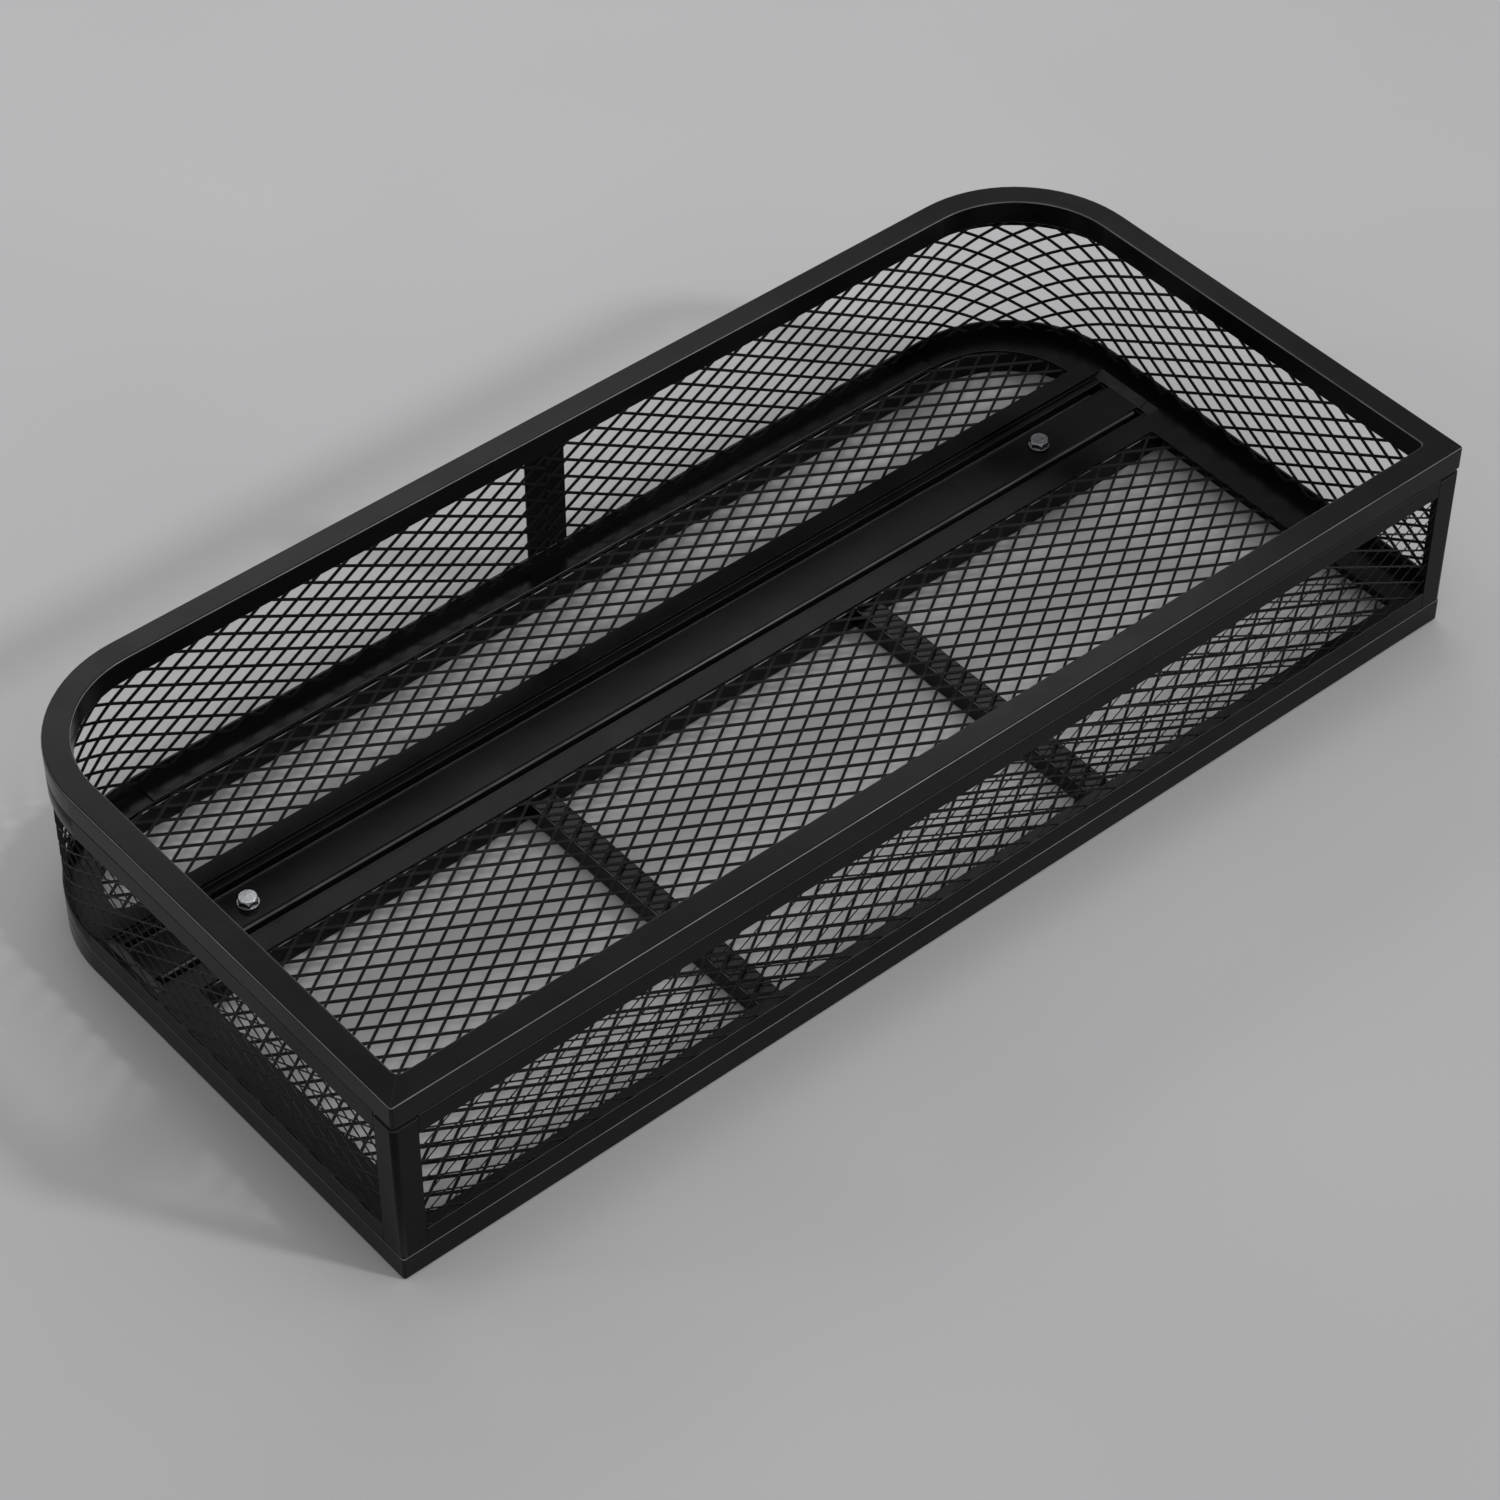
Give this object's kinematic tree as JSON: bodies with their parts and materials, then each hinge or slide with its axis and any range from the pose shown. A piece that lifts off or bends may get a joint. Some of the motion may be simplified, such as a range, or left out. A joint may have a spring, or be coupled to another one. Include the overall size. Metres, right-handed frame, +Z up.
{
  "type": "cargo basket",
  "caption": "Steel cargo basket with expanded-mesh floor and low mesh walls, square front corners, rounded back corners and a bolted centre strip.",
  "frame": {"origin": "centre of the plan at the underside of the base tube", "axes": "+X along the length, +Y to the back with the rounded corners, +Z up"},
  "size_m": [1.2, 0.57, 0.21],
  "materials": {
    "tube_coat": "semi-gloss black powder coat",
    "sheet_coat": "semi-gloss black powder coat",
    "mesh_coat": "semi-gloss black powder coat",
    "bolt_plating": "bright plated",
    "washer_plating": "bright plated",
    "clamp_steel": "zinc plated steel"
  },
  "bodies": {
    "basket": {"base_tube_u": "tube_coat", "base_tube_front": "tube_coat", "rim_tube_u": "tube_coat", "rim_tube_front": "tube_coat", "centre_rail_back": "tube_coat", "centre_rail_front": "tube_coat", "cross_member_left": "tube_coat", "cross_member_right": "tube_coat", "lower_rail_u": "sheet_coat", "lower_rail_front": "sheet_coat", "upper_rail_u": "sheet_coat", "upper_rail_front": "sheet_coat", "corner_post_left": "sheet_coat", "corner_post_right": "sheet_coat", "mid_post_back": "sheet_coat", "floor_pan_back": "sheet_coat", "floor_pan_front": "sheet_coat", "edge_strip_back": "sheet_coat", "floor_mesh_back": "mesh_coat", "floor_mesh_front": "mesh_coat", "wall_mesh_front": "mesh_coat", "wall_mesh_left": "mesh_coat", "wall_mesh_right": "mesh_coat"},
    "bolt_left": {"hex_bolt_left": "bolt_plating", "flat_washer_left": "washer_plating"},
    "clamp_left": {"clamp_plate_left": "clamp_steel"},
    "bolt_right": {"hex_bolt_right": "bolt_plating", "flat_washer_right": "washer_plating"},
    "clamp_right": {"clamp_plate_right": "clamp_steel"}
  },
  "joints": [
    {"name": "bolt_left_turn", "type": "hinge", "parent": "basket", "child": "bolt_left", "pos_m": [-0.4655, 0.1125, 0.0265], "axis": [0, 0, 1], "range_deg": [0, 2160]},
    {"name": "clamp_left_slide", "type": "slide", "parent": "basket", "child": "clamp_left", "axis": [0, 0, 1], "range_m": [-0.009, 0]},
    {"name": "bolt_right_turn", "type": "hinge", "parent": "basket", "child": "bolt_right", "pos_m": [0.4655, 0.1125, 0.0265], "axis": [0, 0, 1], "range_deg": [0, 2160]},
    {"name": "clamp_right_slide", "type": "slide", "parent": "basket", "child": "clamp_right", "axis": [0, 0, 1], "range_m": [-0.009, 0]}
  ],
  "couplings": [
    {"joint": "bolt_left_turn", "follows": "clamp_left_slide", "rad_per_m": -4188.7},
    {"joint": "bolt_right_turn", "follows": "clamp_right_slide", "rad_per_m": -4188.7}
  ]
}
